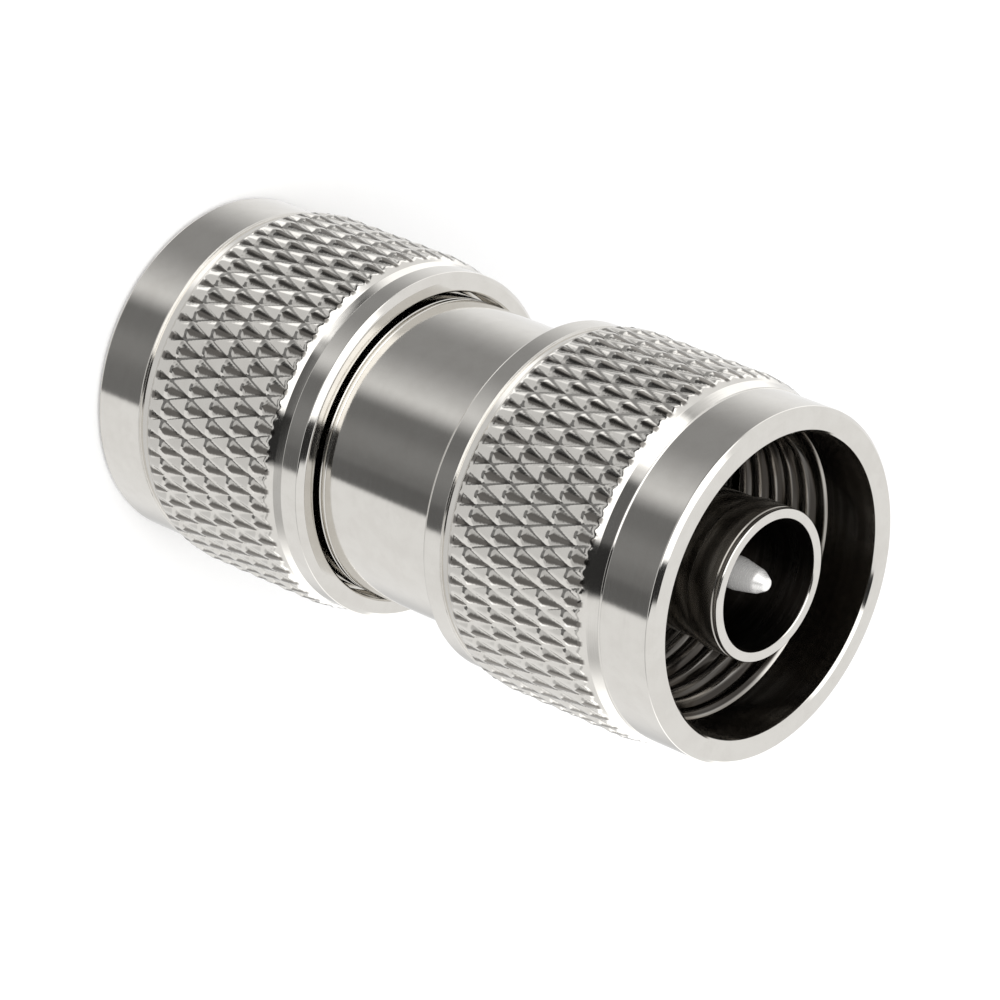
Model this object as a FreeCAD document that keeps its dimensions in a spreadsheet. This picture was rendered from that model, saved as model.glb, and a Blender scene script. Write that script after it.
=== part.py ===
import FreeCAD, Part
import math
import os
import Sketcher

# Coaxial adapter with a plug at each end: a turned body with a captive knurled nut at either side.
# It stands on the lower nut's front rim, with its axis on Z and the floor at z = 0.
# Every piece but the body is drawn for the upper end and mirrored about the middle for the lower one.

doc = FreeCAD.newDocument("plug_to_plug_adapter")
sheet = doc.addObject("Spreadsheet::Sheet", "Sizes")

driving_sizes = [
    ("overall_length", 39.3, "rim to rim, both nuts against their rear stops"),
    ("counterbore_diameter", 16.2, "nut's plain bore, clear of the mating 5/8-24 thread"),
    ("barrel_rise", 0.1, "radial, plain middle of the body over the counterbore"),
    ("collar_step", 0.4, "radial, barrel down to the seat that the nut runs on"),
    ("collar_front_land", 0.7, "collar left in front of the ring groove"),
    ("seat_depth", 3.3, "how far the outer contact is pressed into the body"),
    ("bead_stop_length", 3.6, "length of the narrow bore between the beads"),
    ("bead_stop_step", 0.5, "radial, bore of the outer contact down to the narrow bore"),
    ("nut_length", 15.4, "coupling nut over all"),
    ("nut_front_wall", 1.3, "radial, counterbore to the plain front band"),
    ("nut_front_length", 3.3, "plain front band"),
    ("nut_rear_drop", 0.4, "radial, points of the knurl down to the plain rear band"),
    ("nut_rear_length", 1.4, "plain rear band"),
    ("nut_chamfer", 0.3, "outer edges of both nut faces"),
    ("bore_chamfer", 0.15, "inner edges of both nut faces"),
    ("knurl_rise", 0.5, "radial, front band to the points of the knurl"),
    ("knurl_depth", 0.3, "points of the knurl to the grooves between them, radial"),
    ("knurl_teeth", 56, "diamonds round the nut"),
    ("knurl_pitch", 3.3, "one diamond to the next along the nut"),
    ("knurl_crest", 0.5, "share of a diamond's width that its level crest takes"),
    ("knurl_run_out", 0.45, "length of the cone from the points down to the neck"),
    ("neck_drop", 0.35, "radial, points of the knurl down to the neck at each end of it"),
    ("neck_front_length", 0.75, "neck between the knurl and the front band"),
    ("neck_rear_length", 0.55, "neck between the knurl and the rear band"),
    ("neck_front_step", 0.07, "chamfer from the neck down to the front band"),
    ("counterbore_depth", 3.3, "front face to the thread's lead-in"),
    ("thread_height", 0.675, "radial, counterbore down to the crests of the thread"),
    ("thread_relief_length", 0.9, "turned clear behind the thread"),
    ("nut_running_clearance", 0.05, "radial, nut bore on the collar"),
    ("barrel_clearance", 0.45, "radial, nut's rear recess round the barrel"),
    ("rear_recess_depth", 1.6, "recess in the nut's rear face"),
    ("stop_clearance", 0.05, "axial, barrel shoulder to the recess floor"),
    ("ring_groove_depth", 0.9, "radial, collar to the floor of the body's ring groove"),
    ("ring_width", 1.0, "snap ring along the axis"),
    ("ring_lap", 0.2, "radial, snap ring beyond the barrel"),
    ("ring_offset", 1.0, "recess floor to the nut's ring groove"),
    ("ring_side_clearance", 0.05, "axial, each side of the ring"),
    ("ring_outer_clearance", 0.15, "radial, ring to the nut's groove"),
    ("ring_inner_clearance", 0.25, "radial, ring to the body's groove"),
    ("ring_gap_angle", 14, "degrees left open by the split"),
    ("nut_play", 0.8, "how far each nut slides outward"),
    ("sleeve_bore", 7.0, "outer contact, inside"),
    ("sleeve_lip_wall", 0.55, "radial, outer contact at its lip"),
    ("sleeve_recess", 0.28, "lip behind the nut's front face"),
    ("sleeve_lip_length", 2.0, "full-diameter lip"),
    ("sleeve_shank_wall", 0.35, "radial, outer contact behind the lip"),
    ("sleeve_base_wall", 1.1, "radial, outer contact where it enters the body"),
    ("sleeve_base_ahead", 0.2, "base shoulder ahead of the gasket"),
    ("sleeve_edge", 0.12, "chamfers on the outer contact"),
    ("gasket_thickness", 1.3, "seal at the root of the plug"),
    ("gasket_setback", 0.9, "radial, collar to the edge of the seal"),
    ("gasket_edge", 0.25, "rounded corners of the seal"),
    ("bead_length", 5.2, "insulating bead"),
    ("conductor_diameter", 3.04, "centre contact ahead of the bead"),
    ("waist_diameter", 2.4, "centre contact through the bead"),
    ("pin_diameter", 1.6, "centre pin"),
    ("pin_shoulder_depth", 5.8, "nut's front face to the pin's shoulder"),
    ("pin_recess", 0.45, "nut's front face to the pin's tip"),
    ("pin_tip_length", 1.3, "tapered tip"),
    ("pin_tip_diameter", 0.9, "end of the tapered tip"),
    ("pin_tip_round", 0.35, "rounding of the tip's end"),
    ("stud_diameter", 1.2, "stud that joins the two centre contacts"),
    ("stud_length", 2.4, "stud that joins the two centre contacts"),
    ("stud_bottom_gap", 0.2, "room past the stud's end"),
    ("body_edge", 0.15, "chamfers on the turned body"),
]
for row, (alias, number, note) in enumerate(driving_sizes, start=1):
    sheet.set(f"A{row}", note)
    sheet.set(f"B{row}", str(number))
    sheet.setAlias(f"B{row}", alias)
doc.recompute()


def size(alias):
    return float(sheet.get(alias))


# The present value of an expression on the sheet
def doc_value(expression):
    result = sheet.evalExpression(expression.replace("Sizes.", ""))
    return float(result.Value) if hasattr(result, "Value") else float(result)


def cell(alias):
    return "Sizes." + alias


def half(alias):
    return f"(Sizes.{alias} / 2)"


def plus(*terms):
    return "(" + " + ".join(terms) + ")"


def minus(first, *rest):
    return "(" + " - ".join((first,) + rest) + ")"


# Radii that several pieces share: all of the nut and body follow from the counterbore
counterbore = half("counterbore_diameter")
front_band = plus(counterbore, cell("nut_front_wall"))
knurl_radius = plus(front_band, cell("knurl_rise"))
rear_band = minus(knurl_radius, cell("nut_rear_drop"))
neck = minus(knurl_radius, cell("neck_drop"))
barrel = plus(counterbore, cell("barrel_rise"))
collar = minus(barrel, cell("collar_step"))
ring_floor = minus(collar, cell("ring_groove_depth"))
ring_outside = plus(barrel, cell("ring_lap"))
nut_bore = plus(collar, cell("nut_running_clearance"))
recess_radius = plus(barrel, cell("barrel_clearance"))

# and the outer contact and what it holds from its own bore
sleeve_inside = half("sleeve_bore")
sleeve_lip = plus(sleeve_inside, cell("sleeve_lip_wall"))
sleeve_shank = plus(sleeve_inside, cell("sleeve_shank_wall"))
sleeve_base = plus(sleeve_inside, cell("sleeve_base_wall"))

# Heights that several pieces share, measured up from the floor
middle = half("overall_length")
front = cell("overall_length")
nut_rear = minus(front, cell("nut_length"))
recess_floor = plus(nut_rear, cell("rear_recess_depth"))
barrel_shoulder = minus(recess_floor, cell("stop_clearance"))
nut_groove_low = plus(recess_floor, cell("ring_offset"))
ring_low = plus(nut_groove_low, cell("ring_side_clearance"))
ring_high = plus(ring_low, cell("ring_width"))
nut_groove_high = plus(ring_high, cell("ring_side_clearance"))
body_groove_low = minus(ring_low, cell("ring_side_clearance"))
body_groove_high = plus(ring_high, cell("nut_play"), cell("ring_side_clearance"))
body_front = plus(body_groove_high, cell("collar_front_land"))
gasket_front = plus(body_front, cell("gasket_thickness"))
sleeve_base_front = plus(gasket_front, cell("sleeve_base_ahead"))
sleeve_rear = minus(body_front, cell("seat_depth"))
sleeve_rim = minus(front, cell("sleeve_recess"))
bead_low = plus(middle, half("bead_stop_length"))
bead_high = plus(bead_low, cell("bead_length"))
relief_low = minus(body_front, cell("nut_running_clearance"))
thread_low = plus(relief_low, cell("thread_relief_length"))
thread_high = minus(front, cell("counterbore_depth"))


def mirrored(height):
    return minus(front, height)


def plane_of(body, role):
    return next(item for item in body.Origin.OriginFeatures if item.Role == role)


# A turned piece: a closed outline of (radius, height) pairs, each bound to the sheet, spun about Z
def turned_piece(label, outline, sweep="360"):
    body = doc.addObject("PartDesign::Body", label)
    body.Label = label
    sketch = body.newObject("Sketcher::SketchObject", label + "_outline")
    sketch.AttachmentSupport = [(plane_of(body, "XZ_Plane"), "")]
    sketch.MapMode = "FlatFace"
    points = []
    for radius, height in outline:
        across = 0.0 if radius == "0" else doc_value(radius)
        points.append(FreeCAD.Vector(across, doc_value(height), 0))
    count = len(points)
    for index in range(count):
        sketch.addGeometry(Part.LineSegment(points[index], points[(index + 1) % count]), False)
    for index in range(count):
        sketch.addConstraint(Sketcher.Constraint("Coincident", index, 2, (index + 1) % count, 1))
    for index, (radius, height) in enumerate(outline):
        if radius == "0":
            sketch.addConstraint(Sketcher.Constraint("PointOnObject", index, 1, -2))
        else:
            place = sketch.addConstraint(
                Sketcher.Constraint("DistanceX", -1, 1, index, 1, points[index].x))
            sketch.setExpression(f"Constraints[{place}]", radius)
        place = sketch.addConstraint(
            Sketcher.Constraint("DistanceY", -1, 1, index, 1, points[index].y))
        sketch.setExpression(f"Constraints[{place}]", height)
    spin = body.newObject("PartDesign::Revolution", label + "_turning")
    spin.Profile = sketch
    spin.ReferenceAxis = (sketch, ["V_Axis"])
    spin.setExpression("Angle", sweep)
    body.Tip = spin
    doc.recompute()
    return body


# Rounds the circular edges of a turned piece that lie at the given height and radius
def round_circle(body, height, radius, rounding):
    level = doc_value(height)
    across = doc_value(radius)
    names = []
    for number, edge in enumerate(body.Shape.Edges, start=1):
        curve = edge.Curve
        if isinstance(curve, Part.Circle) and abs(curve.Radius - across) < 1e-6:
            if abs(edge.CenterOfMass.z - level) < 1e-6 or abs(curve.Center.z - level) < 1e-6:
                names.append(f"Edge{number}")
    turned = body.Tip
    fillet = body.newObject("PartDesign::Fillet", body.Label + "_rounding")
    fillet.Base = (turned, names)
    fillet.setExpression("Radius", rounding)
    body.Tip = fillet
    doc.recompute()


def lower_copy(source, label):
    copy = doc.addObject("Part::Mirroring", label)
    copy.Label = label
    copy.Source = source
    copy.Normal = FreeCAD.Vector(0, 0, 1)
    copy.setExpression("Base.z", middle)
    doc.recompute()
    return copy


# The body: plain barrel, a collar at each end with the groove for its snap ring, stepped bore
def make_body():
    narrow = minus(sleeve_inside, cell("bead_stop_step"))
    edge = cell("body_edge")
    outside = [
        (barrel, minus(barrel_shoulder, edge)),
        (minus(barrel, edge), barrel_shoulder),
        (collar, barrel_shoulder),
        (collar, body_groove_low),
        (ring_floor, body_groove_low),
        (ring_floor, body_groove_high),
        (collar, body_groove_high),
        (collar, minus(body_front, edge)),
        (minus(collar, edge), body_front),
    ]
    inside = [
        (sleeve_base, body_front),
        (sleeve_base, sleeve_rear),
        (sleeve_inside, sleeve_rear),
        (sleeve_inside, bead_low),
        (narrow, bead_low),
    ]
    upper = outside + inside
    lower = [(radius, mirrored(height)) for radius, height in reversed(upper)]
    return turned_piece("body_barrel", upper + lower)


# Outer contact: thin lip, slimmer shank, and a thick base pressed into the body
def make_outer_contact():
    edge = cell("sleeve_edge")
    lip_low = minus(sleeve_rim, cell("sleeve_lip_length"))
    return turned_piece("outer_contact_upper", [
        (plus(sleeve_inside, edge), sleeve_rim),
        (minus(sleeve_lip, edge), sleeve_rim),
        (sleeve_lip, minus(sleeve_rim, edge)),
        (sleeve_lip, lip_low),
        (sleeve_shank, lip_low),
        (sleeve_shank, sleeve_base_front),
        (minus(sleeve_base, edge), sleeve_base_front),
        (sleeve_base, minus(sleeve_base_front, edge)),
        (sleeve_base, sleeve_rear),
        (sleeve_inside, sleeve_rear),
        (sleeve_inside, minus(sleeve_rim, edge)),
    ])


def make_gasket():
    outer = minus(collar, cell("gasket_setback"))
    inner = sleeve_base
    edge = cell("gasket_edge")
    return turned_piece("gasket_upper", [
        (inner, gasket_front),
        (minus(outer, edge), gasket_front),
        (outer, minus(gasket_front, edge)),
        (outer, plus(body_front, edge)),
        (minus(outer, edge), body_front),
        (inner, body_front),
    ])


def make_bead():
    outer = sleeve_inside
    inner = half("waist_diameter")
    return turned_piece("insulator_upper", [
        (inner, bead_high),
        (outer, bead_high),
        (outer, bead_low),
        (inner, bead_low),
    ])


# Centre contacts: pin, shoulder and conductor, then a waist through the bead.
# The upper one ends in a stud at the middle and the lower one takes it in a hole.
def contact_outline(inner_end):
    waist = half("waist_diameter")
    head = half("conductor_diameter")
    pin = half("pin_diameter")
    shoulder = minus(front, cell("pin_shoulder_depth"))
    tip = minus(front, cell("pin_recess"))
    return inner_end + [
        (waist, middle),
        (waist, bead_high),
        (head, bead_high),
        (head, shoulder),
        (pin, shoulder),
        (pin, minus(tip, cell("pin_tip_length"))),
        (half("pin_tip_diameter"), tip),
        ("0", tip),
    ]


def make_upper_contact():
    stud = half("stud_diameter")
    stud_end = minus(middle, cell("stud_length"))
    contact = turned_piece("centre_contact_upper", contact_outline([
        ("0", stud_end),
        (stud, stud_end),
        (stud, middle),
    ]))
    round_circle(contact, minus(front, cell("pin_recess")), half("pin_tip_diameter"), cell("pin_tip_round"))
    return contact


# Drawn above the middle like the rest, then mirrored, so its hole runs up from the middle
def make_lower_contact():
    stud = half("stud_diameter")
    hole_end = plus(middle, cell("stud_length"), cell("stud_bottom_gap"))
    contact = turned_piece("centre_contact_socket", contact_outline([
        ("0", hole_end),
        (stud, hole_end),
        (stud, middle),
    ]))
    round_circle(contact, minus(front, cell("pin_recess")), half("pin_tip_diameter"), cell("pin_tip_round"))
    return lower_copy(contact, "centre_contact_lower")


# Split ring that traps the nut: it slides in the body's wide groove and turns in the nut's narrow one
def make_snap_ring():
    inner = plus(ring_floor, cell("ring_inner_clearance"))
    return turned_piece("snap_ring_upper", [
        (inner, ring_high),
        (ring_outside, ring_high),
        (ring_outside, ring_low),
        (inner, ring_low),
    ], sweep="360 - Sizes.ring_gap_angle")


# Nut before knurling: bands, necks, run-out cones and all of its inside
def make_nut_blank():
    blank = plus(knurl_radius, cell("knurl_depth"))
    cone = f"({cell('knurl_run_out')} * ({blank} - {neck}) / {cell('neck_drop')})"
    minor = minus(counterbore, cell("thread_height"))
    ring_groove = plus(ring_outside, cell("ring_outer_clearance"))
    edge = cell("nut_chamfer")
    inner_edge = cell("bore_chamfer")
    band_low = minus(front, cell("nut_front_length"))
    front_neck_low = minus(band_low, cell("neck_front_length"))
    rear_high = plus(nut_rear, cell("nut_rear_length"))
    rear_neck_high = plus(rear_high, cell("neck_rear_length"))
    return turned_piece("nut_blank", [
        (plus(counterbore, inner_edge), front),
        (minus(front_band, edge), front),
        (front_band, minus(front, edge)),
        (front_band, band_low),
        (plus(front_band, cell("neck_front_step")), minus(band_low, cell("neck_front_step"))),
        (neck, front_neck_low),
        (blank, minus(front_neck_low, cone)),
        (blank, plus(rear_neck_high, cone)),
        (neck, rear_neck_high),
        (neck, plus(rear_high, minus(neck, rear_band))),
        (rear_band, rear_high),
        (rear_band, plus(nut_rear, edge)),
        (minus(rear_band, edge), nut_rear),
        (plus(recess_radius, inner_edge), nut_rear),
        (recess_radius, plus(nut_rear, inner_edge)),
        (recess_radius, recess_floor),
        (nut_bore, recess_floor),
        (nut_bore, nut_groove_low),
        (ring_groove, nut_groove_low),
        (ring_groove, nut_groove_high),
        (nut_bore, nut_groove_high),
        (nut_bore, relief_low),
        (counterbore, relief_low),
        (counterbore, thread_low),
        (minor, thread_low),
        (minor, minus(thread_high, cell("thread_height"))),
        (counterbore, thread_high),
        (counterbore, minus(front, inner_edge)),
    ])


# What the knurling wheels press away: a tube round the nut whose inside is the field of diamonds.
# Diamonds and groove crossings stand on a grid of rows along the nut and half teeth round it, taking
# turns. Level grooves join the crossings in two helical families. Each diamond has a short level
# crest round the nut. A flat falls from the crest to each tip, with a steeper shoulder either side.
# The field ends over the necks, which lie below its grooves.
def make_knurl_tool():
    teeth = int(round(size("knurl_teeth")))
    around = 2 * teeth
    point = doc_value(knurl_radius)
    groove = point - size("knurl_depth")
    outside = point + 2 * size("knurl_depth")
    low = doc_value(nut_rear) + size("nut_rear_length") + size("neck_rear_length") / 2
    high = size("overall_length") - size("nut_front_length") - size("neck_front_length") / 2
    rows = max(2, int(round((high - low) / (size("knurl_pitch") / 2))))
    step = (high - low) / rows
    vertices = []

    def place(radius, turn, height):
        angle = math.pi * turn / teeth
        vertices.append((radius * math.cos(angle), radius * math.sin(angle), height))
        return len(vertices) - 1

    def is_point(row, turn):
        return (row + turn) % 2 == 1

    # between two grid places in a row lies the end of the crest of whichever of them is a diamond
    grid = []
    crest_ends = []
    crest = size("knurl_crest")
    for row in range(rows + 1):
        height = low + row * step
        grid.append([place(point if is_point(row, turn) else groove, turn, height)
                     for turn in range(around)])
        crest_ends.append([place(point, turn + (crest if is_point(row, turn) else 1 - crest), height)
                           for turn in range(around)])
    rims = [[place(outside, turn, height) for turn in range(around)] for height in (low, high)]
    facets = []
    for turn in range(around):
        after = (turn + 1) % around
        for row in range(rows):
            a, b = grid[row][turn], grid[row][after]
            c, d = grid[row + 1][after], grid[row + 1][turn]
            e, f = crest_ends[row][turn], crest_ends[row + 1][turn]
            # a groove crosses the cell from one crossing to the next, with half a diamond either side
            if is_point(row, turn):
                facets += [(a, d, e), (e, d, b), (b, d, f), (b, f, c)]
            else:
                facets += [(a, c, e), (e, c, b), (a, d, f), (a, f, c)]
        low_rim, high_rim = rims
        first, last = crest_ends[0][turn], crest_ends[rows][turn]
        facets += [(low_rim[turn], low_rim[after], high_rim[after])]
        facets += [(low_rim[turn], high_rim[after], high_rim[turn])]
        facets += [(grid[0][turn], first, low_rim[after]), (first, grid[0][after], low_rim[after])]
        facets += [(grid[0][turn], low_rim[after], low_rim[turn])]
        facets += [(grid[rows][turn], high_rim[after], last), (last, high_rim[after], grid[rows][after])]
        facets += [(grid[rows][turn], high_rim[turn], high_rim[after])]
    surface = Part.Shape()
    surface.makeShapeFromMesh(([FreeCAD.Vector(*v) for v in vertices], facets), 1e-5)
    solid = Part.Solid(Part.Shell(surface.Faces))
    if solid.Volume < 0:
        solid.reverse()
    tool = doc.addObject("Part::Feature", "knurl_tool")
    tool.Label = "knurl_tool"
    tool.Shape = solid
    return tool


def make_nut():
    blank = make_nut_blank()
    tool = make_knurl_tool()
    nut = doc.addObject("Part::Cut", "coupling_nut_upper")
    nut.Label = "coupling_nut_upper"
    nut.Base = blank
    nut.Tool = tool
    doc.recompute()
    return nut


pieces = [make_body()]
for upper in (make_outer_contact(), make_gasket(), make_bead(), make_snap_ring(), make_nut()):
    pieces += [upper, lower_copy(upper, upper.Label.replace("upper", "lower"))]
pieces += [make_upper_contact(), make_lower_contact()]
doc.recompute()

for item in doc.Objects:
    if "Invalid" in item.State or "Error" in item.State:
        raise RuntimeError(f"{item.Label} did not build: {item.getStatusString()}")

os.makedirs("parts", exist_ok=True)
for piece in pieces:
    shape = piece.Shape
    if shape.isNull() or not shape.isValid() or len(shape.Solids) != 1 or shape.Volume <= 0:
        raise RuntimeError(f"{piece.Label} is not one sound solid")
    box = shape.BoundBox
    shape.exportStep(f"parts/{piece.Label}.step")
    print(f"{piece.Label:22s} {shape.Volume:9.2f} mm3  faces {len(shape.Faces):5d}  "
          f"z {box.ZMin:7.3f} to {box.ZMax:7.3f}  across {box.XLength:7.3f}")
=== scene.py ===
import math

import bpy
import numpy as np
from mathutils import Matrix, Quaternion, Vector


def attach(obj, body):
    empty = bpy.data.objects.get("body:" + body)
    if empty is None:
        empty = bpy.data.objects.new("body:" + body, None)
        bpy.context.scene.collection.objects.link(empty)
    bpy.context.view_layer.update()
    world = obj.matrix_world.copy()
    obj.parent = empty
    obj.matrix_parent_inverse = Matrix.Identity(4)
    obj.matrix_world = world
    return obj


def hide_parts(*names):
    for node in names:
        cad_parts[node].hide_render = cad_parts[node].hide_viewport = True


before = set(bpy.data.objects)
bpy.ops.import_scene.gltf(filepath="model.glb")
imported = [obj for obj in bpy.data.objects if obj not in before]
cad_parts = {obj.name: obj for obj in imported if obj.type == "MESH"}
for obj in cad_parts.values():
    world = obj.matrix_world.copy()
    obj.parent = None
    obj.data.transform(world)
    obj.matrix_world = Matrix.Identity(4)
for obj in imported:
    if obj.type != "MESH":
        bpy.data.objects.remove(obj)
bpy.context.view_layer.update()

mm = 0.001
totalHeight = 39.3
print("frame loaded:", len(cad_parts), "nodes")


# Shader sockets that can be added, multiplied and so on: each sum adds its own Math nodes
class Wire:
    def __init__(self, graph, socket):
        self.graph = graph
        self.socket = socket

    def out(self, name):
        return Wire(self.graph, self.socket.node.outputs[name])

    def maths(self, operation, *terms):
        return self.graph.node("ShaderNodeMath", {"operation": operation}, dict(enumerate(terms)))

    def __add__(self, other):
        return self.maths("ADD", self, other)

    def __sub__(self, other):
        return self.maths("SUBTRACT", self, other)

    def __rsub__(self, other):
        return self.maths("SUBTRACT", other, self)

    def __mul__(self, other):
        return self.maths("MULTIPLY", self, other)

    def __truediv__(self, other):
        return self.maths("DIVIDE", self, other)

    def __pow__(self, other):
        return self.maths("POWER", self, other)

    __radd__ = __add__
    __rmul__ = __mul__

    # 0 where this is at low, 1 where it is at high, with a soft start and end
    def rise(self, low, high):
        return self.graph.node("ShaderNodeMapRange", {"interpolation_type": "SMOOTHSTEP"},
                               {"Value": self, "From Min": low, "From Max": high})


# A node tree, filled through one method
class Graph:
    def __init__(self, tree):
        self.tree = tree
        tree.nodes.clear()

    def node(self, kind, settings={}, sockets={}, out=0):
        made = self.tree.nodes.new(kind)
        for name, value in settings.items():
            setattr(made, name, value)
        for name, value in sockets.items():
            if isinstance(value, Wire):
                self.tree.links.new(value.socket, made.inputs[name])
            else:
                made.inputs[name].default_value = value
        return Wire(self, made.outputs[out]) if made.outputs else None

    # one colour into another by a mask
    def blend(self, mask, first, second):
        return self.node("ShaderNodeMix", {"data_type": "RGBA"},
                         {0: mask, 6: first, 7: second}, out=2)


# An outline of corners (radius, height, rounding): each corner becomes an arc that touches both
# sides, with a guard point beyond each end of the arc so that the flats beside it shade flat.
# A guard of 0 leaves those points out.
def outline(corners, closed=True, steps=4, guard=0.02):
    points = []
    count = len(corners)
    for index, (radius, height, rounding) in enumerate(corners):
        here = np.array((radius, height), float)
        if rounding == 0 or (not closed and index in (0, count - 1)):
            points.append(here[None])
            continue
        toBefore = np.array(corners[index - 1][:2]) - here
        toAfter = np.array(corners[(index + 1) % count][:2]) - here
        room = min(np.linalg.norm(toBefore), np.linalg.norm(toAfter)) * 0.48
        toBefore = toBefore / np.linalg.norm(toBefore)
        toAfter = toAfter / np.linalg.norm(toAfter)
        halfAngle = 0.5 * math.acos(np.clip(toBefore @ toAfter, -1.0, 1.0))
        reach = min(rounding / math.tan(halfAngle), room)
        rounding = reach * math.tan(halfAngle)
        inward = (toBefore + toAfter) / np.linalg.norm(toBefore + toAfter)
        centre = here + inward * rounding / math.sin(halfAngle)
        first = (here + toBefore * reach - centre) / rounding
        last = (here + toAfter * reach - centre) / rounding
        swing = math.pi - 2 * halfAngle
        share = np.linspace(0, 1, steps + 1)[:, None]
        arc = (np.sin((1 - share) * swing) * first + np.sin(share * swing) * last) / math.sin(swing)
        extra = min(guard, room - reach)
        if extra > 1e-4:
            points.append((here + toBefore * (reach + extra))[None])
        points.append(centre + rounding * arc)
        if extra > 1e-4:
            points.append((here + toAfter * (reach + extra))[None])
    return np.concatenate(points)


# A ring of points about Z: radius and height may be numbers or arrays round the ring
def ring(radius, height, columns):
    turn = np.arange(columns) * (2 * math.pi / columns)
    radius = np.broadcast_to(radius, columns)
    height = np.broadcast_to(height, columns)
    return np.column_stack([radius * np.cos(turn), radius * np.sin(turn), height])


# Skin over rings of points. Rings of one count are joined by quads, a ring and one of half its
# count by three triangles at a time, and a single point closes a pole. slants gives, for a pair of
# rings, which way each quad is cut in two.
def skin(name, rings, closed=True, slants={}):
    counts = [len(r) for r in rings]
    starts = np.concatenate([[0], np.cumsum(counts)[:-1]]).astype(int)
    quads = []
    triangles = []
    pairs = len(rings) if closed else len(rings) - 1
    for index in range(pairs):
        after = (index + 1) % len(rings)
        low, high = starts[index], starts[after]
        m, n = counts[index], counts[after]
        j = np.arange(m)
        k = np.arange(n)
        if m == 1:
            triangles.append(np.column_stack([np.full(n, low), high + (k + 1) % n, high + k]))
        elif n == 1:
            triangles.append(np.column_stack([low + j, low + (j + 1) % m, np.full(m, high)]))
        elif m == n and index in slants:
            a, b = low + j, low + (j + 1) % m
            c, d = high + (j + 1) % m, high + j
            falling = slants[index][:, None]
            triangles.append(np.where(falling, np.column_stack([a, b, d]), np.column_stack([a, b, c])))
            triangles.append(np.where(falling, np.column_stack([b, c, d]), np.column_stack([a, c, d])))
        elif m == n:
            quads.append(np.column_stack([low + j, low + (j + 1) % m, high + (j + 1) % m, high + j]))
        elif m == 2 * n:
            fine = low + 2 * k
            middle = fine + 1
            far = low + (2 * k + 2) % m
            near, next_ = high + k, high + (k + 1) % n
            triangles.append(np.column_stack([fine, middle, near]))
            triangles.append(np.column_stack([middle, far, next_]))
            triangles.append(np.column_stack([middle, next_, near]))
        else:
            near, next_ = low + j, low + (j + 1) % m
            fine = high + 2 * j
            middle = fine + 1
            far = high + (2 * j + 2) % n
            triangles.append(np.column_stack([near, middle, fine]))
            triangles.append(np.column_stack([near, next_, middle]))
            triangles.append(np.column_stack([next_, far, middle]))
    return meshPiece(name, np.concatenate(rings),
                     np.concatenate(quads) if quads else np.zeros((0, 4), int),
                     np.concatenate(triangles) if triangles else np.zeros((0, 3), int))


# Points in millimetres, quads and triangles, made into a smooth-shaded object at the origin
def meshPiece(name, points, quads, triangles):
    mesh = bpy.data.meshes.new(name)
    mesh.vertices.add(len(points))
    mesh.vertices.foreach_set("co", (points * mm).astype(np.float32).ravel())
    corners = np.concatenate([quads.ravel(), triangles.ravel()]).astype(np.int32)
    firsts = np.concatenate([4 * np.arange(len(quads)),
                             4 * len(quads) + 3 * np.arange(len(triangles))]).astype(np.int32)
    mesh.loops.add(len(corners))
    mesh.loops.foreach_set("vertex_index", corners)
    mesh.polygons.add(len(firsts))
    mesh.polygons.foreach_set("loop_start", firsts)
    mesh.update(calc_edges=True)
    mesh.validate()
    mesh.shade_smooth()
    piece = bpy.data.objects.new(name, mesh)
    bpy.context.scene.collection.objects.link(piece)
    return piece


# Rings are drawn for the upper end. The lower end is the upper one turned over about X, which keeps
# the thread right-handed
def atEnd(end, rings):
    if end == "upper":
        return rings
    return [np.column_stack([r[:, 0], -r[:, 1], totalHeight - r[:, 2]]) for r in rings]


# Dress a piece: its finish, its CAD body and the node that it stands for
def dress(piece, finish, body, node):
    piece.data.materials.append(finish)
    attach(piece, body)
    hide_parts(node)
    print("made", piece.name, len(piece.data.polygons), "faces")


def turnedRings(corners, columns, steps=4):
    return [ring(radius, height, columns) for radius, height in outline(corners, True, steps)]


# The coupling nut, drawn for the upper end. Its finish reads the places of the diamonds here too, for
# the painted shade on them.
nut = {
    "teeth": 56, "columnsPerTooth": 14, "halfRows": 6, "rowsPerHalf": 8,
    "gridLow": 25.575, "gridHigh": 35.625, "footLow": 25.85, "footHigh": 35.25,
    "pointRadius": 9.88, "depth": 0.2, "crest": 0.1, "shoulder": 1.8, "grooveSoft": 0.1,
    "neckRadius": 9.55, "neckLow": 9.34, "neckRear": 9.4, "runOut": 0.62, "runOutSoft": 0.012,
    "closeReach": 0.6, "footMargin": 0.02,
    "bandRadius": 9.4, "frontStep": 35.95, "frontChamfer": 0.26, "mouthChamfer": 0.15,
    "rearRadius": 9.5, "rearFace": 23.9, "rearChamfer": 0.3, "rearStep": 25.3,
    "threadPitch": 25.4 / 24, "threadMinor": 7.425, "threadMajor": 7.98, "flankShare": 0.375,
    "threadLow": 29.95, "threadHigh": 36.0, "threadRows": 28, "counterbore": 8.1, "leadDrop": 0.6,
    "relief": 29.05, "slide": 7.85, "grooveRadius": 8.55, "grooveLow": 26.5, "grooveHigh": 27.6,
    "recess": 8.46, "recessFloor": 25.5,
}
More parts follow.
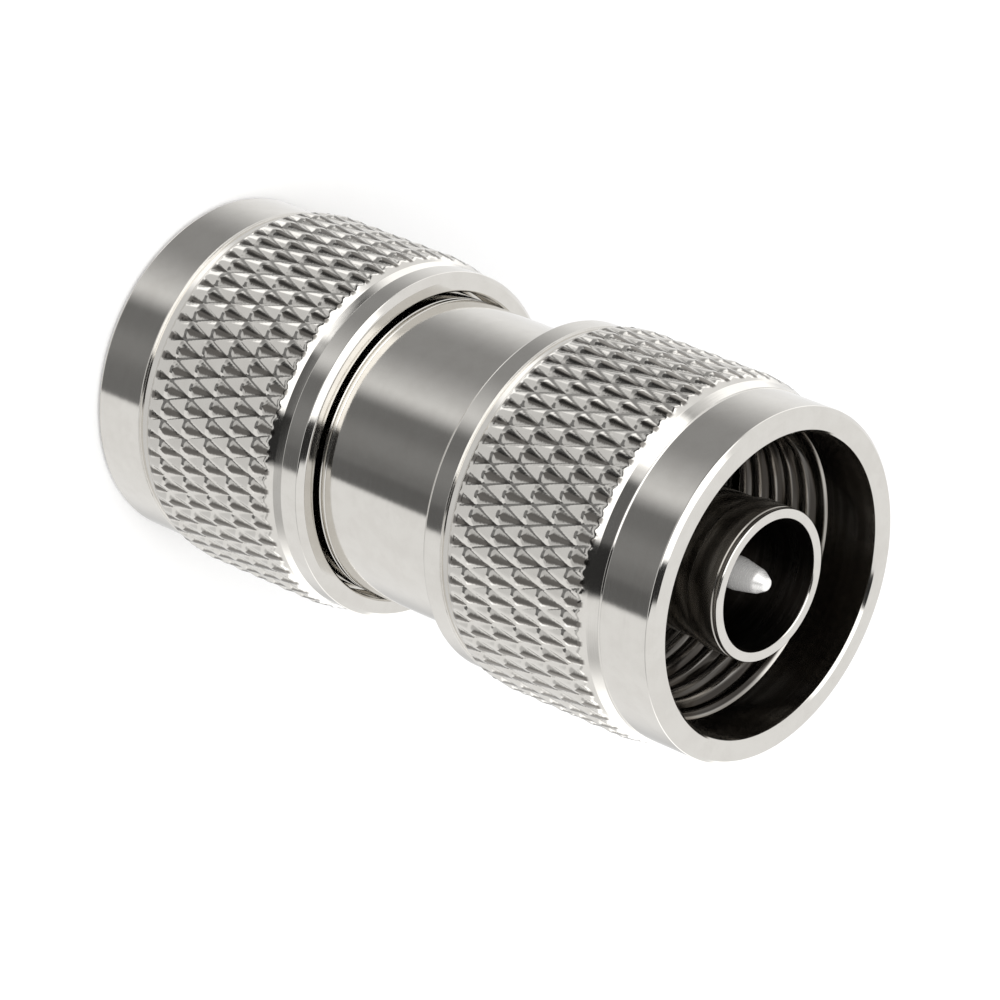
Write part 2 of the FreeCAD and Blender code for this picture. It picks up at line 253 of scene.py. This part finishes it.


# Bright nickel over turned brass. Marks run round the axis: noise in four dimensions, of the
# direction round the axis (slow) and of radius and height (fast). A painted shade zone is a part of
# the surface, given by radius and by distance from the middle, whose colour is darkened as painted
# shade in a recess, and which is rougher. Its streaks share lets the broad marks break that painted
# shade into lighter streaks.
def nickelFinish(name, look):
    finish = bpy.data.materials.new(name)
    finish.use_nodes = True
    g = Graph(finish.node_tree)
    place = g.node("ShaderNodeTexCoord").out("Object")
    inMm = g.node("ShaderNodeVectorMath", {"operation": "SCALE"}, {0: place, "Scale": 1 / mm})
    parts = g.node("ShaderNodeSeparateXYZ", {}, {0: inMm})
    x, y, z = parts.out("X"), parts.out("Y"), parts.out("Z")
    radius = (x * x + y * y) ** 0.5
    safe = radius + 0.001

    def marks(across, around):
        spot = g.node("ShaderNodeCombineXYZ", {}, {
            "X": x / safe * around, "Y": y / safe * around, "Z": radius * across})
        return g.node("ShaderNodeTexNoise", {"noise_dimensions": "4D"}, {
            "Vector": spot, "W": z * across, "Scale": 1.0, "Detail": look["markDetail"],
            "Roughness": look["noiseRoughness"]})

    fine = marks(look["markScale"], look["markLength"])
    broad = marks(look["bandScale"], look["bandLength"])
    cloud = g.node("ShaderNodeTexNoise", {}, {
        "Vector": inMm, "Scale": look["cloudScale"], "Detail": look["cloudDetail"],
        "Roughness": look["noiseRoughness"]})
    rough = look["roughness"] + look["markRough"] * (fine - 0.5) + look["cloudRough"] * (cloud - 0.5)
    colour = g.blend(cloud.rise(*look["cloudEdges"]),
                     (*look["colour"], 1.0), (*look["cloudColour"], 1.0))
    fromMiddle = x.maths("ABSOLUTE", z - totalHeight / 2)
    # painted shade in recesses, zone by zone, broken into lighter streaks by the broad marks
    for shadedZone in look["paintedShadeZones"]:
        mask = radius.rise(*shadedZone["over"]) * (1 - radius.rise(*shadedZone["under"]))
        mask = mask * fromMiddle.rise(*shadedZone["beyond"]) * (1 - fromMiddle.rise(*shadedZone["before"]))
        mask = mask * (1 - shadedZone["streaks"] + shadedZone["streaks"] * broad.rise(*look["streakEdges"]))
        colour = g.blend(mask, colour, (*shadedZone["colour"], 1.0))
        rough = rough + shadedZone["rough"] * mask

    # painted shade on the front half of each diamond: a dark lens, widest near its foot, with frayed
    # sides. Row counts half rows along the nut, around counts half teeth from the diamond's middle.
    if "leafShade" in look:
        leafShade = look["leafShade"]
        step = (nut["gridHigh"] - nut["gridLow"]) / nut["halfRows"]
        below = totalHeight - nut["gridHigh"]
        low = below + (nut["gridLow"] - below) * z.maths("GREATER_THAN", z, totalHeight / 2)
        along = (z - low) / step
        row = along.maths("FLOOR", along)
        part = along - row
        around = x.maths("ARCTAN2", y, x) * (nut["teeth"] / math.pi) - row - 1
        away = x.maths("ABSOLUTE", around - 2 * x.maths("ROUND", around / 2))
        wide = leafShade["width"] * part.rise(0.0, leafShade["foot"]) * (1 - part) ** leafShade["taper"]
        ragged = away / (wide + 0.001) + leafShade["ragged"] * (fine - 0.5)
        mask = (1 - ragged.rise(leafShade["inner"], leafShade["outer"])) * radius.rise(*leafShade["over"])
        colour = g.blend(mask * leafShade["share"], colour, (*leafShade["colour"], 1.0))
        rough = rough + leafShade["rough"] * mask

    height = fine * look["markHeight"] + broad * look["bandHeight"] + cloud * look["cloudHeight"]
    normal = g.node("ShaderNodeBump", {}, {"Height": height, "Strength": 1.0, "Distance": mm})
    surface = g.node("ShaderNodeBsdfPrincipled", {}, {
        "Base Color": colour, "Metallic": look["metal"], "Roughness": rough, "Normal": normal})
    g.node("ShaderNodeOutputMaterial", {}, {"Surface": surface})
    return finish


# Moulded or cut plastic and rubber: fine grain, a little mottling, soft cloudiness in the gloss
def mouldedFinish(name, look):
    finish = bpy.data.materials.new(name)
    finish.use_nodes = True
    g = Graph(finish.node_tree)
    place = g.node("ShaderNodeTexCoord").out("Object")
    grain = g.node("ShaderNodeTexNoise", {}, {
        "Vector": place, "Scale": look["grainScale"], "Detail": look["grainDetail"],
        "Roughness": look["grainRoughness"]})
    mottle = g.node("ShaderNodeTexNoise", {}, {
        "Vector": place, "Scale": look["mottleScale"], "Detail": look["mottleDetail"],
        "Roughness": look["mottleRoughness"]})
    colour = g.blend(mottle.rise(*look["mottleEdges"]),
                     (*look["colour"], 1.0), (*look["mottleColour"], 1.0))
    normal = g.node("ShaderNodeBump", {}, {
        "Height": grain, "Strength": 1.0, "Distance": look["grainHeight"] * mm})
    surface = g.node("ShaderNodeBsdfPrincipled", {}, {
        "Base Color": colour, "Normal": normal,
        "Roughness": look["roughness"] + look["grainGloss"] * (grain - 0.5)})
    g.node("ShaderNodeOutputMaterial", {}, {"Surface": surface})
    return finish


nickelLook = {
    "colour": (0.72, 0.70, 0.662), "cloudColour": (0.69, 0.668, 0.63), "metal": 1.0, "paintedShadeZones": [],
    "roughness": 0.09, "markRough": 0.08, "cloudRough": 0.04,
    "markScale": 16.0, "markLength": 2.5, "markHeight": 0.0006,
    "bandScale": 2.2, "bandLength": 0.8, "bandHeight": 0.0015,
    "cloudScale": 0.9, "cloudHeight": 0.0015, "cloudDetail": 4.0, "cloudEdges": (0.35, 0.7),
    "markDetail": 2.0, "noiseRoughness": 0.6, "streakEdges": (0.62, 0.42),
}
mouldedLook = {
    "grainDetail": 5.0, "grainRoughness": 0.65, "grainGloss": 0.15,
    "mottleDetail": 2.0, "mottleRoughness": 0.5, "mottleEdges": (0.3, 0.7),
}
# the body: painted shade on its inner surfaces and on the floor of the snap ring groove
bodyNickel = nickelFinish("bodyNickel", {**nickelLook, "paintedShadeZones": [
    {"over": (-2, -1), "under": (7.0, 7.4), "beyond": (5.0, 6.0), "before": (20.0, 21.0),
     "colour": (0.08, 0.07, 0.06), "rough": 0.25, "streaks": 0.2},
]})
# the nut: a dark lens of painted shade on the front half of each diamond
nutNickel = nickelFinish("nutNickel", {**nickelLook, "leafShade": {
    "width": 0.56, "foot": 0.22, "taper": 0.55, "inner": 0.55, "outer": 1.15, "ragged": 0.7,
    "over": (9.62, 9.7), "share": 0.92, "colour": (0.13, 0.12, 0.108), "rough": 0.08,
}, "paintedShadeZones": [
    # painted shade in the counterbore, darkest in the thread grooves, lighter on the thread crests
    {"over": (-2, -1), "under": (8.2, 8.3), "beyond": (16.2, 16.3), "before": (19.3, 19.45),
     "colour": (0.26, 0.24, 0.215), "rough": 0.1, "streaks": 0.5},
    {"over": (7.44, 7.6), "under": (8.2, 8.3), "beyond": (9.0, 9.5), "before": (16.2, 16.3),
     "colour": (0.05, 0.045, 0.04), "rough": 0.05, "streaks": 0.1},
    {"over": (-2, -1), "under": (7.46, 7.6), "beyond": (5.0, 5.5), "before": (16.2, 16.3),
     "colour": (0.22, 0.205, 0.19), "rough": 0.03, "streaks": 0.6},
]})
# outer contact: painted shade inside the sleeve and on its outer wall within the nut; the rim keeps the
# plain colour
contactNickel = nickelFinish("contactNickel", {**nickelLook, "roughness": 0.12, "paintedShadeZones": [
    {"over": (-2, -1), "under": (3.52, 3.58), "beyond": (-2, -1), "before": (19.2, 19.3),
     "colour": (0.07, 0.06, 0.052), "rough": 0.18, "streaks": 0.1},
    {"over": (3.7, 3.8), "under": (20.0, 21.0), "beyond": (-2, -1), "before": (19.1, 19.25),
     "colour": (0.34, 0.32, 0.29), "rough": 0.05, "streaks": 0.6},
]})
pinNickel = nickelFinish("pinNickel", {
    **nickelLook, "colour": (0.93, 0.92, 0.90), "cloudColour": (0.86, 0.85, 0.83),
    "roughness": 0.27, "markHeight": 0.0005, "metal": 0.35,
})
springBronze = nickelFinish("springBronze", {
    **nickelLook, "colour": (0.62, 0.44, 0.24), "cloudColour": (0.52, 0.36, 0.19), "roughness": 0.3,
})
whitePolymer = mouldedFinish("whitePolymer", {
    **mouldedLook,
    "colour": (0.80, 0.79, 0.76), "mottleColour": (0.74, 0.73, 0.70), "roughness": 0.42,
    "grainScale": 9000.0, "grainHeight": 0.004, "mottleScale": 700.0,
})
sealRubber = mouldedFinish("sealRubber", {
    **mouldedLook,
    "colour": (0.035, 0.032, 0.03), "mottleColour": (0.045, 0.041, 0.037), "roughness": 0.55,
    "grainScale": 12000.0, "grainHeight": 0.006, "mottleScale": 900.0,
})
print("finishes ready")


# The lower of two values, with a soft corner where they cross
def softLower(first, second, soft):
    return np.minimum(first, second) - soft * np.log1p(np.exp(-np.abs(first - second) / soft))


# Knurl: two families of grooves wind round the nut, left and right, and leave diamonds between them.
# Across a diamond the surface is level over its crest and falls over a shoulder to the groove, and
# along it both the width and the height shrink from the middle to the tips. The run-out cone caps it.
def knurlRadius(turn, height):
    along = (height - nut["gridLow"]) / ((nut["gridHigh"] - nut["gridLow"]) / nut["halfRows"])
    around = turn * nut["teeth"] / math.pi

    # offset from the middle of the diamond that holds the point: 1 round to its side, 1 along to its tip
    first = (along + around + 1) / 2
    second = (along - around + 1) / 2
    first = 2 * (first - np.round(first))
    second = 2 * (second - np.round(second))
    across, lengthways = np.abs(first - second) / 2, np.abs(first + second) / 2
    share = across / np.maximum(1 - lengthways, 1e-6)
    fall = np.clip((share - nut["crest"]) / (1 - nut["crest"]), 0, 1) ** nut["shoulder"]
    rise = (1 - lengthways) * (1 - fall)
    rise = -softLower(-rise, -nut["grooveSoft"], nut["grooveSoft"])
    knurl = nut["pointRadius"] - nut["depth"] * (1 - rise)
    slope = (nut["pointRadius"] - nut["neckRadius"]) / nut["runOut"]
    cone = nut["neckRadius"] + slope * np.minimum(height - nut["footLow"], nut["footHigh"] - height)
    return softLower(np.minimum(knurl, nut["pointRadius"]), cone, nut["runOutSoft"])


# Thread, right-handed: the place along one pitch is height less the share of a turn, and the
# flanks stand at sixty degrees between a flat crest and a narrow root
def threadRadius(turn, height):
    pitch = nut["threadPitch"]
    part = height / pitch - turn / (2 * math.pi)
    part = part - np.floor(part)
    away = np.abs(part - 0.5) * pitch
    flank = nut["threadMinor"] + (pitch * nut["flankShare"] - away) * math.sqrt(3)
    return np.clip(flank, nut["threadMinor"], nut["threadMajor"])


def nutRings():
    fineCount = nut["teeth"] * nut["columnsPerTooth"]
    coarseCount = fineCount // 2
    fineTurn = np.arange(fineCount) * (2 * math.pi / fineCount)
    coarseTurn = np.arange(coarseCount) * (2 * math.pi / coarseCount)
    band, rear, bore = nut["bandRadius"], nut["rearRadius"], nut["counterbore"]

    # rear face, rear band and the neck behind the knurl
    neck, recess, face = nut["neckRadius"], nut["recess"], nut["rearFace"]
    behind = outline([
        (recess, face + 0.7, 0), (recess, face + 0.1, 0.05), (recess + 0.1, face, 0.05),
        (rear - nut["rearChamfer"], face, 0.16), (rear, face + nut["rearChamfer"], 0.1),
        (rear, nut["rearStep"], 0.02), (nut["neckRear"], nut["rearStep"] + 0.05, 0.02),
        (neck - 0.01, nut["footLow"] - 0.03, 0), (neck, nut["footLow"], 0),
    ], closed=False, steps=2)
    rings = [ring(r, h, coarseCount) for r, h in behind]

    # knurl rows, twice as close in the run-outs
    step = (nut["gridHigh"] - nut["gridLow"]) / nut["halfRows"] / nut["rowsPerHalf"]
    rows = nut["gridLow"] + step * np.arange(1, nut["halfRows"] * nut["rowsPerHalf"])
    reach, margin = nut["closeReach"], nut["footMargin"]
    close = rows[(rows < nut["footLow"] + reach) | (rows > nut["footHigh"] - reach)]
    rows = np.unique(np.round(np.concatenate([rows, close + step / 2]), 6))
    rows = rows[(rows > nut["footLow"] + margin) & (rows < nut["footHigh"] - margin)]
    knurlStart = len(rings)
    rings += [ring(knurlRadius(fineTurn, h), h, fineCount) for h in rows]

    # each quad of the knurl is cut in two along its own slope
    slants = {}
    around = (np.arange(fineCount) + 0.5) * 2 / nut["columnsPerTooth"]
    for index in range(len(rows) - 1):
        along = ((rows[index] + rows[index + 1]) / 2 - nut["gridLow"]) / (step * nut["rowsPerHalf"])
        slants[knurlStart + index] = np.sin(math.pi * along) * np.sin(math.pi * around) > 0

    # neck ahead of the knurl, front band, front face and counterbore
    front, mouth = nut["frontChamfer"], nut["mouthChamfer"]
    shoulder, threadTop, drop = nut["frontStep"], nut["threadHigh"], nut["leadDrop"]
    ahead = outline([
        (neck, nut["footHigh"], 0), (neck - 0.01, nut["footHigh"] + 0.03, 0),
        (nut["neckLow"], shoulder - 0.05, 0.03), (band + 0.06, shoulder, 0.02),
        (band, shoulder + 0.09, 0.05), (band, totalHeight - front, 0.14),
        (band - front, totalHeight, 0.14), (bore + mouth, totalHeight, 0.04),
        (bore, totalHeight - mouth, 0.04), (bore, threadTop, 0.02), (bore - drop, threadTop - drop, 0),
    ], closed=False, steps=3)
    rings += [ring(r, h, coarseCount) for r, h in ahead[:-1]]

    # thread, opened out by the lead-in cone at its front
    for h in np.linspace(threadTop - 0.03, nut["threadLow"], nut["threadRows"]):
        lead = bore - (threadTop - h)
        rings.append(ring(np.maximum(threadRadius(coarseTurn, h), lead), h, coarseCount))

    # relief, bore, snap ring groove and the recess in the rear face
    slide, groove = nut["slide"], nut["grooveRadius"]
    inside = outline([
        (bore - 0.05, nut["threadLow"], 0), (bore, nut["threadLow"], 0.02),
        (bore, nut["relief"], 0.03), (slide, nut["relief"], 0.03),
        (slide, nut["grooveHigh"], 0.03), (groove, nut["grooveHigh"], 0.02),
        (groove, nut["grooveLow"], 0.02), (slide, nut["grooveLow"], 0.03),
        (slide, nut["recessFloor"], 0.03), (recess, nut["recessFloor"], 0.04),
        (recess, face + 0.72, 0),
    ], closed=False, steps=2, guard=0)
    rings += [ring(r, h, coarseCount) for r, h in inside[1:]]
    return rings, slants


rings, slants = nutRings()
for end in ("upper", "lower"):
    piece = skin(end + "_nut", atEnd(end, rings), True, slants)
    dress(piece, nutNickel, end + "_nut", "coupling_nut_" + end)

# The body: one turned piece, the same at both ends
barrel = {
    "columns": 288, "radius": 8.2, "collar": 7.8, "grooveFloor": 6.9, "edge": 0.15,
    "shoulder": 25.45, "grooveLow": 26.5, "grooveHigh": 28.4, "front": 29.1,
    "seat": 4.6, "seatFloor": 25.8, "beadBore": 3.5, "beadFloor": 21.45, "narrow": 3.0,
    "lines": (23.42, 23.72), "lineDepth": 0.05, "lineWidth": 0.1,
}


def barrelCorners():
    b = barrel
    r = b["radius"]
    outside = []
    for height in b["lines"]:
        outside += [(r, height - b["lineWidth"] / 2, 0.02), (r - b["lineDepth"], height, 0.02),
                    (r, height + b["lineWidth"] / 2, 0.02)]
    outside += [
        (r, b["shoulder"] - b["edge"], 0.05), (r - b["edge"], b["shoulder"], 0.05),
        (b["collar"], b["shoulder"], 0.04), (b["collar"], b["grooveLow"], 0.03),
        (b["grooveFloor"], b["grooveLow"], 0.03), (b["grooveFloor"], b["grooveHigh"], 0.03),
        (b["collar"], b["grooveHigh"], 0.03), (b["collar"], b["front"] - b["edge"], 0.04),
        (b["collar"] - b["edge"], b["front"], 0.04), (b["seat"], b["front"], 0.02),
        (b["seat"], b["seatFloor"], 0.02), (b["beadBore"], b["seatFloor"], 0.02),
        (b["beadBore"], b["beadFloor"], 0.02), (b["narrow"], b["beadFloor"], 0.03),
    ]
    lower = [(radius, totalHeight - height, soft) for radius, height, soft in reversed(outside)]
    return outside + [(b["narrow"], totalHeight / 2, 0)] + lower


piece = skin("barrel", turnedRings(barrelCorners(), barrel["columns"]))
dress(piece, bodyNickel, "body", "body_barrel")

# Outer contact: thin lip, slimmer shank, thick base in the body
sleeve = {"columns": 240, "bore": 3.5, "lip": 4.05, "shank": 3.85, "base": 4.6,
          "rim": 39.02, "lipLow": 37.02, "baseHigh": 30.6, "rear": 25.8,
          "line": 0.36, "lineDepth": 0.06, "lineHalf": 0.06, "rounding": 0.13}


def sleeveCorners():
    s = sleeve
    line = s["rim"] - s["line"]
    return [
        (s["bore"], s["rear"], 0.02), (s["base"], s["rear"], 0.03),
        (s["base"], s["baseHigh"], 0.1), (s["shank"], s["baseHigh"], 0.08),
        (s["shank"], s["lipLow"], 0.05), (s["lip"], s["lipLow"], 0.05),
        (s["lip"], line - s["lineHalf"], 0.02), (s["lip"] - s["lineDepth"], line, 0.02),
        (s["lip"], line + s["lineHalf"], 0.02),
        (s["lip"], s["rim"], s["rounding"]), (s["bore"], s["rim"], s["rounding"]),
    ]


# Centre contact: pin with a tapered, rounded tip, shoulder, head and waist. The upper one has a stud
# that sits in the lower one's hole.
pin = {"columns": 96, "waist": 1.2, "head": 1.52, "radius": 0.88, "beadHigh": 26.65,
       "shoulder": 33.5, "shoulderDrop": 0.7, "taper": 37.0, "tip": 38.9,
       "tipSlim": 0.24, "tipDrop": 0.6, "noseSlim": 0.55, "noseDrop": 0.05,
       "stud": 0.6, "studEnd": 17.25, "hole": 0.61, "holeDepth": 2.6}


def pinRings(end):
    p = pin
    middle = totalHeight / 2
    if end == "upper":
        root = [(0, p["studEnd"], 0), (p["stud"], p["studEnd"], 0.05), (p["stud"], middle, 0.03)]
    else:
        holeEnd = middle + p["holeDepth"]
        root = [(0, holeEnd, 0), (p["hole"], holeEnd, 0.05), (p["hole"], middle, 0.03)]
    points = outline(root + [
        (p["waist"], middle, 0.03),
        (p["waist"], p["beadHigh"], 0.03), (p["head"], p["beadHigh"], 0.05),
        (p["head"], p["shoulder"] - p["shoulderDrop"], 0.2), (p["radius"], p["shoulder"], 0.2),
        (p["radius"], p["taper"], 1.8), (p["radius"] - p["tipSlim"], p["tip"] - p["tipDrop"], 0.6),
        (p["radius"] - p["noseSlim"], p["tip"] - p["noseDrop"], 0.2), (0, p["tip"], 0),
    ], closed=False, steps=6)
    return [ring(r, h, p["columns"] if r > 1e-6 else 1) for r, h in points]


# Seals and beads: plain washers, all four corners rounded
seal = {"columns": 240, "inner": 4.6, "outer": 6.9, "low": 29.1, "high": 30.4, "rounding": 0.25}
bead = {"columns": 120, "inner": 1.2, "outer": 3.5, "low": 21.45, "high": 26.65, "rounding": 0.05}


def washerCorners(w):
    return [(w["inner"], w["low"], 0.03), (w["outer"], w["low"], w["rounding"]),
            (w["outer"], w["high"], w["rounding"]), (w["inner"], w["high"], 0.03)]


# Split snap ring: a rounded square section swept round the axis, short of a full turn
snapRing = {"columns": 240, "inner": 7.15, "outer": 8.4, "low": 26.55, "high": 27.55,
            "rounding": 0.08, "gap": 14}


def snapRingPiece(name, end):
    section = outline(washerCorners(snapRing), True, 3)
    sweep = math.radians(360 - snapRing["gap"])
    turn = np.linspace(0, sweep, snapRing["columns"])
    height = section[:, 1] if end == "upper" else totalHeight - section[:, 1]
    order = slice(None) if end == "upper" else slice(None, None, -1)
    radius, height = section[order, 0], height[order]
    points = np.stack([np.outer(np.cos(turn), radius), np.outer(np.sin(turn), radius),
                       np.broadcast_to(height, (len(turn), len(height)))], axis=-1)
    count = len(section)
    i, j = np.meshgrid(np.arange(len(turn) - 1), np.arange(count), indexing="ij")
    here, after = i * count + j, i * count + (j + 1) % count
    quads = np.stack([here, here + count, after + count, after], axis=-1).reshape(-1, 4)
    fan = np.arange(1, count - 1)
    last = (len(turn) - 1) * count
    caps = np.concatenate([np.column_stack([np.zeros_like(fan), fan, fan + 1]),
                           np.column_stack([np.full_like(fan, last), last + fan + 1, last + fan])])
    return meshPiece(name, points.reshape(-1, 3), quads, caps)


for end in ("upper", "lower"):
    piece = skin(end + "_outer_contact", atEnd(end, turnedRings(sleeveCorners(), sleeve["columns"], 5)))
    dress(piece, contactNickel, "body", "outer_contact_" + end)
    piece = skin(end + "_pin", atEnd(end, pinRings(end)), closed=False)
    dress(piece, pinNickel, "body", "centre_contact_" + end)
    piece = skin(end + "_seal", atEnd(end, turnedRings(washerCorners(seal), seal["columns"])))
    dress(piece, sealRubber, "body", "gasket_" + end)
    piece = skin(end + "_bead", atEnd(end, turnedRings(washerCorners(bead), bead["columns"])))
    dress(piece, whitePolymer, "body", "insulator_" + end)
    piece = snapRingPiece(end + "_snap_ring", end)
    dress(piece, springBronze, end + "_ring", "snap_ring_" + end)

# Floor: matt white, large, so that it is white to its edge and keeps the part's shadow
floorSize = 3.0
floorMesh = bpy.data.meshes.new("floor")
half = floorSize / 2
floorMesh.from_pydata([(-half, -half, 0), (half, -half, 0), (half, half, 0), (-half, half, 0)],
                      [], [(0, 1, 2, 3)])
floor = bpy.data.objects.new("floor", floorMesh)
bpy.context.scene.collection.objects.link(floor)
floorPaint = bpy.data.materials.new("floorPaint")
floorPaint.use_nodes = True
g = Graph(floorPaint.node_tree)
matt = g.node("ShaderNodeBsdfDiffuse", {}, {"Color": (1.0, 1.0, 1.0, 1.0), "Roughness": 0.0})
g.node("ShaderNodeOutputMaterial", {}, {"Surface": matt})
floorMesh.materials.append(floorPaint)
floor.visible_glossy = False

# Studio: a white tent round the part. Metal also sees what stands in the tent: grey scrims, a dark
# opening, a dark strip and a bright box. Each card is a soft window in azimuth and elevation
# (centre, half width, softness, in degrees) and the light that it leaves.
studio = {
    "diffuse": 0.9, "tent": 0.97,
    "cards": [
        {"azimuth": (180, 200, 5), "elevation": (-76, 28, 2), "light": 0.75},
        {"azimuth": (72, 24, 10), "elevation": (-60, 12, 3), "light": 1.5},
        {"azimuth": (92, 37, 28), "elevation": (-39, 7.5, 2), "light": 0.33},
        {"azimuth": (325, 16, 16), "elevation": (-39, 7.5, 2), "light": 0.68},
        {"azimuth": (190, 45, 9), "elevation": (-39, 7.5, 2), "light": 0.19},
        {"azimuth": (178, 10, 8), "elevation": (-39, 7.5, 2), "light": 0.25},
        {"azimuth": (236, 22, 1.5), "elevation": (-39, 7.5, 2), "light": 0.95},
        {"azimuth": (180, 100, 18), "elevation": (-18.5, 12, 2.5), "light": 0.6},
        {"azimuth": (112, 20, 10), "elevation": (-18.5, 12, 2.5), "light": 0.08},
        {"azimuth": (52, 30, 10), "elevation": (-21, 9, 2.5), "light": 1.5},
        {"azimuth": (298, 38, 20), "elevation": (-18.5, 12, 2.5), "light": 1.7},
        {"azimuth": (188, 18, 12), "elevation": (-18.5, 12, 2.5), "light": 0.7},
        {"azimuth": (137, 41, 6), "elevation": (35, 30, 3), "light": 1.9},
        {"azimuth": (162, 22, 4), "elevation": (-2, 7, 3), "light": 0.14},
        {"azimuth": (112, 19, 4), "elevation": (-2, 7, 3), "light": 1.9},
        {"azimuth": (194, 15, 2.5), "elevation": (26, 36, 3), "light": 0.03},
        {"azimuth": (206, 8, 3), "elevation": (-37, 3.5, 2), "light": 0.13},
    ],
    "lampPower": 1.6, "lampSize": 0.5, "lampSpot": (-0.32, 0.05, 0.5),
    "lampTarget": (0, 0, 0.02),
}


def studioWorld():
    world = bpy.data.worlds.new("studio")
    world.use_nodes = True
    bpy.context.scene.world = world
    g = Graph(world.node_tree)
    way = g.node("ShaderNodeSeparateXYZ", {}, {0: g.node("ShaderNodeTexCoord").out("Generated")})
    x, y, z = way.out("X"), way.out("Y"), way.out("Z")
    azimuth = x.maths("ARCTAN2", y, x) * (180 / math.pi)
    elevation = x.maths("ARCSINE", z) * (180 / math.pi)

    # 1 inside the window and 0 outside it; the softness runs either side of its edge
    def window(angle, centre, half, soft):
        off = x.maths("ABSOLUTE", x.maths("WRAP", angle - centre, 180.0, -180.0))
        return 1 - off.rise(half - soft, half + soft)

    light = studio["tent"]
    for card in studio["cards"]:
        mask = window(azimuth, *card["azimuth"]) * window(elevation, *card["elevation"])
        light = light + (card["light"] - light) * mask
    path = g.node("ShaderNodeLightPath")
    strength = studio["diffuse"] + (light - studio["diffuse"]) * path.out("Is Glossy Ray")
    strength = strength + (1 - strength) * path.out("Is Camera Ray")
    back = g.node("ShaderNodeBackground", {}, {"Color": (1.0, 1.0, 1.0, 1.0), "Strength": strength})
    g.node("ShaderNodeOutputWorld", {}, {"Surface": back})


studioWorld()
lampData = bpy.data.lights.new("softLamp", "AREA")
lampData.shape = "DISK"
lampData.size = studio["lampSize"]
lampData.energy = studio["lampPower"]
lamp = bpy.data.objects.new("softLamp", lampData)
lamp.location = studio["lampSpot"]
lampWay = Vector(studio["lampTarget"]) - lamp.location
lamp.rotation_euler = lampWay.to_track_quat("-Z", "Y").to_euler()
lamp.visible_glossy = False
bpy.context.scene.collection.objects.link(lamp)
print("studio ready")

# Camera, in metres and degrees: a long lens, turned so that the part lies across the picture
shot = {"spot": (-0.20947, 0.05133, 0.18801), "target": (0.000454, -0.001285, 0.020624),
        "roll": 112.28, "lens": 189.0, "sensor": 36.0}
cameraData = bpy.data.cameras.new("camera")
cameraData.lens = shot["lens"]
cameraData.sensor_width = shot["sensor"]
cameraData.clip_start = 0.01
camera = bpy.data.objects.new("camera", cameraData)
camera.location = shot["spot"]
look = (Vector(shot["target"]) - Vector(shot["spot"])).to_track_quat("-Z", "Y")
camera.rotation_mode = "QUATERNION"
camera.rotation_quaternion = look @ Quaternion((0, 0, 1), math.radians(shot["roll"]))
bpy.context.scene.collection.objects.link(camera)
bpy.context.scene.camera = camera
bpy.context.scene.view_settings.view_transform = "Standard"
